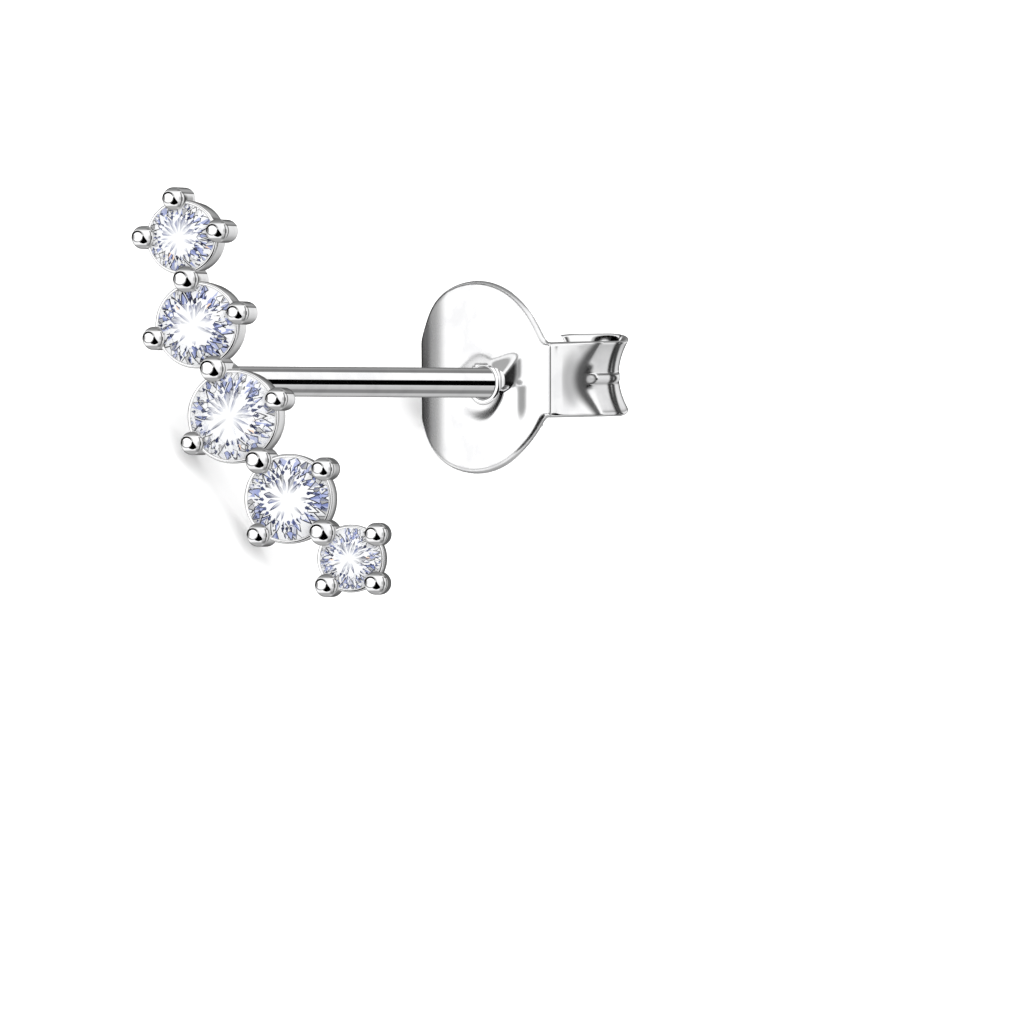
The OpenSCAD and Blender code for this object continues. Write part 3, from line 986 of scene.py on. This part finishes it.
class EARCLIMBER_OT_post(bpy.types.Operator):
    """Draw the post, with its round tip and the solder at its root"""

    bl_idname = "ear_climber.post"
    bl_label = "Draw Post"

    def execute(self, context):
        sizes = context.scene.ear_climber
        p = sizes.post
        r = p.diameter / 2
        tip = arc((0, p.reach - r), r, 0.0, math.pi / 2, 12)
        tip[-1] = (0, p.reach)
        solder = arc((r + SOLDER_R, STUB_H + SOLDER_R), SOLDER_R, -math.pi / 2, -math.pi, 8)
        steps = 24
        bare = p.reach - r - STUB_H - SOLDER_R
        rod = [(r, STUB_H + SOLDER_R + bare * k / steps) for k in range(1, steps)]
        bm = bmesh.new()
        place = Plan(sizes).at_post() @ Matrix.Rotation(-math.pi / 2, 4, "X")
        turn(bm, [(0, 0), (r + SOLDER_R, 0), *solder, *rod, *tip], 72, place)
        material = silver_material("post_silver", smoothest=0.03, roughest=0.07, swell=0.5e-6)
        finish_piece("post_wire", bm, material, "earring", CRISP, ["climber_frame"])
        return {"FINISHED"}


def strip_segments(b, side):
    """The sheet's line from the plate's middle outwards, in (length, turn) stretches of even curvature."""
    fold_bend = b.fold_bend if side > 0 else b.fold_bend - LEFT_EASE
    bend, fold = b.bend_r * b.soft_bend, b.fold_r * fold_bend
    seat = look_seat(b)
    return [
        (b.flat_half_w - bend / 2, 0.0),
        (bend, b.soft_bend),
        (b.soft_w - bend / 2 - fold / 2, 0.0),
        (fold, fold_bend),
        ((b.sweep_r + seat) * b.sweep_turn, b.sweep_turn),
        ((b.curl_r + seat) * b.curl_turn, b.curl_turn),
    ]


def strip_stations(b, side, step):
    """Stations along the sheet's line: (distance, place, heading)."""
    stations = [(0.0, Vector((0, 0)), 0.0)]
    gone, place, heading = 0.0, Vector((0, 0)), 0.0
    for span, turned in strip_segments(b, side):
        count = max(5, math.ceil(span / step * (1 if gone else 2)))
        for k in range(1, count + 1):
            part = span * k / count
            h = heading + turned * k / count
            if turned:
                r = span / turned
                moved = Vector((
                    r * (math.sin(h) - math.sin(heading)), r * (math.cos(heading) - math.cos(h))
                ))
            else:
                moved = part * Vector((math.cos(heading), math.sin(heading)))
            stations.append((gone + part, place + moved, h))
        gone, heading = gone + span, heading + turned
        place = stations[-1][1].copy()
    return stations


def sheet_half_width(b, across):
    """Half the sheet's width at a signed distance from the hole: a disc that runs into the ears' strips."""
    r = b.plate_d / 2
    disc = math.sqrt(max(r * r - (across + b.plate_x) ** 2, 0.0))
    strip = b.ear_w / 2
    soft = 0.22 * MM
    gap = max(soft - abs(disc - strip), 0.0) / soft
    return max(disc, strip) + gap * gap * soft / 4


def pocket_depth(across, up):
    """Depth of the pocket pressed beside the eyelet: a long slope under a slanted edge, and a soft step."""
    if across <= 0:
        return 0.0
    # All of these are in millimetres, from the hole
    a, u = across / MM, up / MM
    # The slanted upper edge, softer towards the eyelet
    top = smooth((0.68 + 0.27 * (a - 0.5) - u) / (0.34 + 0.25 * max(1.25 - a, 0)))
    # The slope that falls towards the eyelet
    slope = 0.532 - 0.44 * min(max(a - 0.45, 0), 0.8)
    if a > 1.25:
        slope = 0.18 * max((1.86 - a) / 0.61, 0) ** 1.5
    slope *= smooth((u + 0.45) / 0.45) * smooth(a / 0.5)
    # The step under it, which runs down the plate
    step = 0.21 * smooth((2.1 - a) / 0.9) * smooth((a - 0.1) / 1.1)
    step *= smooth((u + 1.9) / 1.3) * smooth((0.35 - u) / 0.5)
    return top * (slope + step + math.hypot(slope - step, 0.05) - 0.05) / 2 * MM


def sheet_relief(b, across, up, along_ear, share):
    """How far the sheet's front stands out: the dish and its pocket, an ear's hollow and its rib."""
    wide = b.dish_r - DISH_DRAWN_IN * smooth((up + 0.2 * MM) / (0.8 * MM))
    dish = b.dish_depth * smooth((wide - math.hypot(across, up)) / DISH_RISE)
    pocket, soft = pocket_depth(across, up), 0.06 * MM
    relief = -(dish + pocket + math.hypot(dish - pocket, soft) - soft) / 2
    swept = along_ear * (b.sweep_r + look_seat(b))
    beyond = min(max(-across - b.flat_half_w, 0), b.soft_w)
    relief -= WING_TWIST * beyond ** 2 * (1 - 0.45 * share) / 2 * (1 - smooth(swept / WING_TWIST_END))
    in_fold = 1 + swept / (b.fold_r * b.fold_bend)
    relief -= FOLD_DEPTH * smooth(in_fold) * (1 - smooth(swept / FOLD_BACK))
    if along_ear <= 0:
        return relief
    started = smooth(along_ear / FLARE_TURN)
    flare = b.edge_flare * (1 if across > 0 else LEFT_FLARE)
    relief += started * (flare * share * share - look_seat(b))
    from_middle = abs(share) * b.ear_w / b.rib_w
    ends = smooth((along_ear - b.rib_start) / RIB_FADE_IN)
    ends *= 1 - smooth((along_ear - RIB_END * b.sweep_turn) / RIB_FADE_OUT)
    ridge = max(1 - from_middle ** 2, 0.0)
    return relief + ends * b.rib_rise * ridge


def rim_drop(away, wide, deep):
    """How far a rounded rim lies below its face, at a distance from the edge."""
    t = max(1 - away / wide, 0.0)
    return deep * (1 - math.sqrt(max(1 - t * t, 0.0)))


def column_heights(half, stretch, rows, wide):
    """(height, distance from the edge) across the sheet, edge to edge, set close at the rounded rims."""
    rim = [wide * (1 - math.cos(math.pi / 2 * k / 7)) for k in range(8)]
    inner = half - wide * stretch
    side = [(half - away * stretch, away) for away in rim]
    middle = [(inner * (1 - 2 * k / rows), wide) for k in range(1, rows)]
    return [(-h, away) for h, away in side] + [(-h, away) for h, away in middle] + side[::-1]


def ear_lean(side, curled, behind):
    """How far an ear is raised, at a share of its sweep and a distance behind the plate."""
    if side < 0:
        return -LEFT_DROP * smooth(curled / 0.8)
    lift = CURL_LIFT * smooth((curled - 0.75) / 0.5) * (1 - smooth((curled - 1.5) / 0.6))
    return EAR_LEAN * max(behind - EAR_LEAN_START, 0) + lift


def sheet_column(bm, b, side, station, ear_start, rows):
    """One line of points across the sheet: those on its front and those on its rear."""
    satin = bm.verts.layers.float["satin"]
    gone, place, heading = station
    swept = gone - ear_start
    along_ear = swept / (b.sweep_r + look_seat(b))
    across = side * gone
    half = sheet_half_width(b, across) if swept < 0 else b.ear_w / 2
    near = 0.01 * MM  # half the stretch over which the outline's slope is read
    steep = (sheet_half_width(b, across + near) - sheet_half_width(b, across - near)) / (2 * near)
    stretch = min(math.hypot(1, steep), 2.6) if swept < 0 else 1.0
    rise = b.plate_z + (b.ear_z - b.plate_z) * smooth((gone - b.flat_half_w) / b.wing_w)
    lean = ear_lean(side, along_ear / b.sweep_turn, place.y)
    normal = Vector((math.sin(heading), -math.cos(heading)))
    rim = RIM_W * (1 - 0.5 * smooth(swept / (0.4 * MM) + 0.5))
    skins = ([], [])
    for height, away in column_heights(half, stretch, rows, rim):
        up = rise + height
        out = sheet_relief(b, across, up, along_ear, height / half)
        pressed = smooth(pocket_depth(across, up) / (0.12 * MM))
        levels = (-rim_drop(away, rim, RIM_DROP), rim_drop(away, rim, REAR_DROP) - b.sheet)
        for skin, level in zip(skins, levels):
            flat = place + (out + level) * normal
            vert = bm.verts.new((side * flat.x, flat.y, up + lean))
            vert[satin] = (1 - smooth(1 + swept / (0.3 * MM))) * (1 - 0.8 * pressed)
            skin.append(vert)
    return skins


def join_skins(bm, hole_r, front, rear):
    """Faces on both skins, with a hole left for the eyelet, and walls between the skins' edges."""
    twin = {}
    for grid, other in ((front, rear), (rear, front)):
        for column, mirrored in zip(grid, other):
            twin.update(zip(column, mirrored))
    for a, c in zip(front, front[1:]):
        for k in range(len(a) - 1):
            corners = [a[k], a[k + 1], c[k + 1], c[k]]
            middle = sum((v.co for v in corners), Vector()) / 4
            if math.hypot(middle.x, middle.z) < hole_r and middle.y < 1 * MM:
                continue
            bm.faces.new(corners)
    rims = [tuple(edge.verts) for edge in bm.edges if edge.is_boundary]
    for face in list(bm.faces):
        bm.faces.new([twin[v] for v in reversed(face.verts)])
    for one, two in rims:
        bm.faces.new([one, two, twin[two], twin[one]])
    loose = [v for v in bm.verts if not v.link_faces]
    bmesh.ops.delete(bm, geom=loose, context="VERTS")


def back_sheet(b, rows=72, step=0.055 * MM):
    """The back's sheet in the back's own frame, from the left ear's end to the right ear's."""
    left, right = strip_stations(b, -1, step), strip_stations(b, 1, step)
    starts = {side: sum(span for span, _ in strip_segments(b, side)[:4]) for side in (-1, 1)}
    columns = [(-1, s) for s in reversed(left[1:])] + [(1, s) for s in right]
    bm = bmesh.new()
    bm.verts.layers.float.new("satin")
    skins = [sheet_column(bm, b, side, station, starts[side], rows) for side, station in columns]
    front, rear = zip(*skins)
    join_skins(bm, b.eyelet_r - SHEET_UNDER, front, rear)
    return bm


class EARCLIMBER_OT_back_sheet(bpy.types.Operator):
    """Press and roll the butterfly back from its sheet"""

    bl_idname = "ear_climber.back_sheet"
    bl_label = "Roll Butterfly Back"

    def execute(self, context):
        sizes = context.scene.ear_climber
        b = sizes.back
        bm = back_sheet(b)
        place = Plan(sizes).at_post(sizes.post.back_seat)
        bmesh.ops.transform(bm, verts=bm.verts, matrix=place)
        material = silver_material("back_silver", smoothest=0.1, roughest=0.16, swell=0.6e-6, satin=0.15)
        finish_piece("rolled_back", bm, material, "back", SHEET_CRISP, ["butterfly_back"])
        return {"FINISHED"}


class EARCLIMBER_OT_eyelet(bpy.types.Operator):
    """Turn the rolled eyelet and its collar"""

    bl_idname = "ear_climber.eyelet"
    bl_label = "Turn Eyelet"

    def execute(self, context):
        sizes = context.scene.ear_climber
        b = sizes.back
        hole = sizes.post.diameter / 2 + b.clearance
        front = b.dish_depth + STEP
        rear = b.dish_depth + b.sheet
        end = b.dish_depth + COLLAR_H
        profile = [
            *arc((hole + EYELET_WIRE, front), EYELET_WIRE, math.pi, 2.2 * math.pi, 20),
            (hole + COLLAR_W, front + 0.1 * MM),
            (hole + COLLAR_W, rear - STEP),
            (hole + COLLAR_WALL, rear + EDGE),
            (hole + COLLAR_WALL, end - EDGE),
            (hole + COLLAR_WALL - EDGE, end),
            (hole + STEP, end),
            (hole, end - STEP),
        ]
        bm = bmesh.new()
        place = Plan(sizes).at_post(sizes.post.back_seat) @ Matrix.Rotation(-math.pi / 2, 4, "X")
        turn(bm, profile, 72, place, ring=True)
        material = silver_material("eyelet_silver", smoothest=0.05, roughest=0.1, swell=0.8e-6)
        finish_piece("eyelet", bm, material, "back", CRISP)
        return {"FINISHED"}


def studio_shade(w, x, y):
    """How bright the studio is at a place of the ball's picture: its two sides, and the cards over them."""
    from_rim = w.math("SUBTRACT", 1.0, w.length(x, y))

    def from_point(px, py):
        return w.length(w.math("SUBTRACT", x, px), w.math("SUBTRACT", y, py))

    def stops(*pairs):
        return [((h + 1) / 2, grey(v)) for h, v in pairs]

    tall = w.math("MULTIPLY_ADD", y, 0.5, 0.5)
    left_side = w.ramp(tall, stops(
        (-1, 0.3), (-0.8, 0.45), (-0.66, 0.42), (-0.58, 1.0), (-0.44, 1.1), (-0.2, 1.0),
        (0.5, 1.1), (0.6, 1.0), (0.68, 0.4), (0.8, 0.25), (1, 0.2),
    ))
    right_side = w.ramp(tall, stops(
        (-1, 0.62), (-0.78, 0.6), (-0.7, 0.24), (-0.54, 0.26), (-0.46, 0.55), (-0.26, 0.64),
        (-0.2, 0.9), (0.14, 1.1), (0.6, 1.15), (0.66, 0.22), (0.8, 0.24), (0.86, 0.38), (1, 0.45),
    ))
    shade = w.mix(w.above(x, 0.3, 0.12), left_side, right_side)
    limb = w.ramp(tall, stops(
        (-1, 0.35), (-0.6, 0.42), (-0.35, 0.66), (0.1, 0.84), (0.44, 0.86), (0.48, 0.12),
        (0.53, 0.14), (0.58, 0.34), (0.75, 0.42), (1, 0.2),
    ))
    beyond = w.math("DIVIDE", x, w.math("SQRT", w.math("MAXIMUM", w.math(
        "SUBTRACT", 1.0, w.math("MULTIPLY", y, y)
    ), 0.01)))
    shade = w.mix(w.above(beyond, 0.765, 0.012), shade, limb)

    def card(level, *masks):
        """Lays a card of an even brightness over part of the studio."""
        nonlocal shade
        shade = w.mix(w.both(*masks), shade, grey(level))

    # A grey card at the right, and the dark edges that rods and walls show
    card(0.55, w.between(x, 0.47, 0.62, 0.07), w.between(y, -0.16, 0.16, 0.12))
    beside_post = w.both(w.above(beyond, 0.62, 0.055), w.below(beyond, 0.72, 0.008))
    card(0.10, beside_post, w.between(y, -0.56, 0.56, 0.02))
    card(0.02, w.between(beyond, 0.885, 0.92, 0.008), w.between(y, -0.56, 0.56, 0.02))
    card(0.0, w.between(beyond, 0.715, 0.76, 0.008), w.between(y, -0.2, 0.145, 0.03))
    # The dark blot under a ball's highlight
    blot = w.ramp(tall, stops(
        (-0.54, 0), (-0.5, 0.14), (-0.45, 0.27), (-0.38, 0.34), (-0.3, 0.33), (-0.2, 0.27),
        (-0.1, 0.19), (0.05, 0.09), (0.2, 0),
    ))
    beside = w.math("ABSOLUTE", w.math("SUBTRACT", x, 0.02))
    card(0.0, w.above(w.math("SUBTRACT", blot, beside), 0.004, 0.01), w.between(y, -0.53, 0.2, 0.01))
    # The round light, with its dark ring and its halo
    ring = w.below(from_point(DARK_X, DARK_Y), DARK_R, 0.012)
    light = w.below(from_point(LIGHT_X, LIGHT_Y), LIGHT_R, 0.012)
    halo = w.below(from_point(-0.44, 0.07), 0.52, 0.02)
    card(0.5, halo, w.below(x, 0.12, 0.1), w.above(y, 0.2, 0.08))
    card(0.33, ring, w.below(x, -0.16, 0.08))
    card(0.0, ring, w.below(x, -0.12, 0.08), w.above(y, -0.16, 0.08))
    under_light = w.below(from_point(LIGHT_X, 0.04), 0.43, 0.02)
    card(0.35, under_light, w.below(x, 0.1, 0.04), w.below(y, 0, 0.08))
    card(1.3, light)
    card(0.36, light, w.below(x, -0.735, 0.035), w.between(y, -0.14, 0.26, 0.08))
    # The lines along a ball's rim
    aside = w.math("ABSOLUTE", w.math("SUBTRACT", x, 0.25))
    card(0.05, w.between(from_rim, 0.046, 0.075, 0.006), w.above(aside, 0.5, 0.1))
    card(0.12, w.below(from_rim, 0.012, 0.008))
    return shade


def studio_world(basis):
    """A studio of soft boxes and dark cards, laid out as a ball sees them. It shows in reflections only."""
    world = bpy.data.worlds.new("studio")
    bpy.context.scene.world = world
    world.use_nodes = True
    w = Wiring(world.node_tree)
    background = world.node_tree.nodes["Background"]
    direction = w.node("ShaderNodeTexCoord").outputs["Generated"]
    right, up, near = [
        w.node(
            "ShaderNodeVectorMath", {0: direction, 1: tuple(axis)}, operation="DOT_PRODUCT"
        ).outputs["Value"]
        for axis in basis
    ]
    reach = w.math("SQRT", w.math("MAXIMUM", w.math("MULTIPLY_ADD", near, 2.0, 2.0), 1e-6))
    shade = studio_shade(w, w.math("DIVIDE", right, reach), w.math("DIVIDE", up, reach))
    path = w.node("ShaderNodeLightPath")
    plain = w.math("MAXIMUM", path.outputs["Is Camera Ray"], path.outputs["Is Diffuse Ray"])
    w.feed(background.inputs["Color"], w.mix(plain, shade, grey(BACKDROP)))
    background.inputs["Strength"].default_value = 1.0


def floor_material():
    """A pale, dull floor with a faint grain."""
    finish = bpy.context.scene.ear_climber.finishes
    material, w, shader = new_material("pale_floor")
    grain = w.node("ShaderNodeTexNoise", {
        "Vector": w.node("ShaderNodeTexCoord").outputs["Object"], "Scale": 600.0,
    })
    shade = w.mix(w.math("MULTIPLY", grain.outputs["Fac"], 0.02), opaque(finish.floor), grey(0.8))
    w.feed(shader.inputs["Base Color"], shade)
    shader.inputs["Roughness"].default_value = 0.9
    shader.inputs["Specular IOR Level"].default_value = 0.0
    return material


def lay_floor(half):
    """A flat square of floor under the earring."""
    mesh = bpy.data.meshes.new("floor")
    corners = [(-half, -half, 0), (half, -half, 0), (half, half, 0), (-half, half, 0)]
    mesh.from_pydata(corners, [], [(0, 1, 2, 3)])
    mesh.materials.append(floor_material())
    floor = bpy.data.objects.new("floor", mesh)
    bpy.context.scene.collection.objects.link(floor)
    floor.visible_glossy = False


def hang_lamp():
    """The soft box, which gives the earring its faint shadow."""
    box = bpy.data.lights.new("soft_box", "AREA")
    box.shape = "DISK"
    box.size, box.energy = LAMP_SIZE, LAMP_ENERGY
    lamp = bpy.data.objects.new("soft_box", box)
    lamp.location = LAMP_PLACE
    lamp.rotation_euler = (-LAMP_PLACE).to_track_quat("-Z", "Y").to_euler()
    lamp.visible_glossy = False
    bpy.context.scene.collection.objects.link(lamp)


def set_camera(stage, aim, right, up, near):
    """The camera, far enough from its aim for the width of view that its long lens gives."""
    data = bpy.data.cameras.new("camera")
    data.lens = stage.lens
    distance = stage.view_width * stage.lens / data.sensor_width
    data.clip_start, data.clip_end = distance * 0.1, distance * 10
    camera = bpy.data.objects.new("camera", data)
    turned = Matrix((right, up, near)).transposed().to_4x4()
    camera.matrix_world = Matrix.Translation(aim + near * distance) @ turned
    bpy.context.scene.collection.objects.link(camera)
    bpy.context.scene.camera = camera


class EARCLIMBER_OT_stage(bpy.types.Operator):
    """Lay the floor and set up the light and the camera"""

    bl_idname = "ear_climber.stage"
    bl_label = "Set Stage"

    def execute(self, context):
        sizes = context.scene.ear_climber
        stage = sizes.stage
        lying = Plan(sizes).lying
        right = lying.to_3x3() @ Vector((math.cos(stage.azimuth), math.sin(stage.azimuth), 0))
        up = lying.to_3x3() @ Vector((0, 0, 1))
        near = right.cross(up)
        aim = lying.translation + right * stage.aim_right - up * stage.aim_down
        studio_world((right, up, near))
        lay_floor(stage.floor_half)
        hang_lamp()
        set_camera(stage, aim, right, up, near)
        context.scene.view_settings.view_transform = "Standard"
        return {"FINISHED"}


class EARCLIMBER_PT_panel(bpy.types.Panel):
    """Lists the steps that dress the earring"""

    bl_label = "Ear Climber"
    bl_idname = "EARCLIMBER_PT_panel"
    bl_space_type = "VIEW_3D"
    bl_region_type = "UI"
    bl_category = "Ear Climber"

    def draw(self, context):
        for operator in OPERATORS:
            self.layout.operator(operator.bl_idname)


GROUPS = (
    StoneSizes, RowSizes, SettingSizes, PostSizes, BackSizes, Finishes, StageSizes, EarClimber,
)
OPERATORS = (
    EARCLIMBER_OT_stage,
    EARCLIMBER_OT_stones,
    EARCLIMBER_OT_collets,
    EARCLIMBER_OT_prongs,
    EARCLIMBER_OT_post,
    EARCLIMBER_OT_back_sheet,
    EARCLIMBER_OT_eyelet,
)


def register():
    for cls in (*GROUPS, *OPERATORS, EARCLIMBER_PT_panel):
        bpy.utils.register_class(cls)
    bpy.types.Scene.ear_climber = PointerProperty(type=EarClimber)


def unregister():
    del bpy.types.Scene.ear_climber
    for cls in reversed((*GROUPS, *OPERATORS, EARCLIMBER_PT_panel)):
        bpy.utils.unregister_class(cls)


def main():
    register()
    bpy.ops.ear_climber.stage()
    bpy.ops.ear_climber.stones()
    bpy.ops.ear_climber.collets()
    bpy.ops.ear_climber.prongs()
    bpy.ops.ear_climber.post()
    bpy.ops.ear_climber.back_sheet()
    bpy.ops.ear_climber.eyelet()


if __name__ == "__main__":
    main()
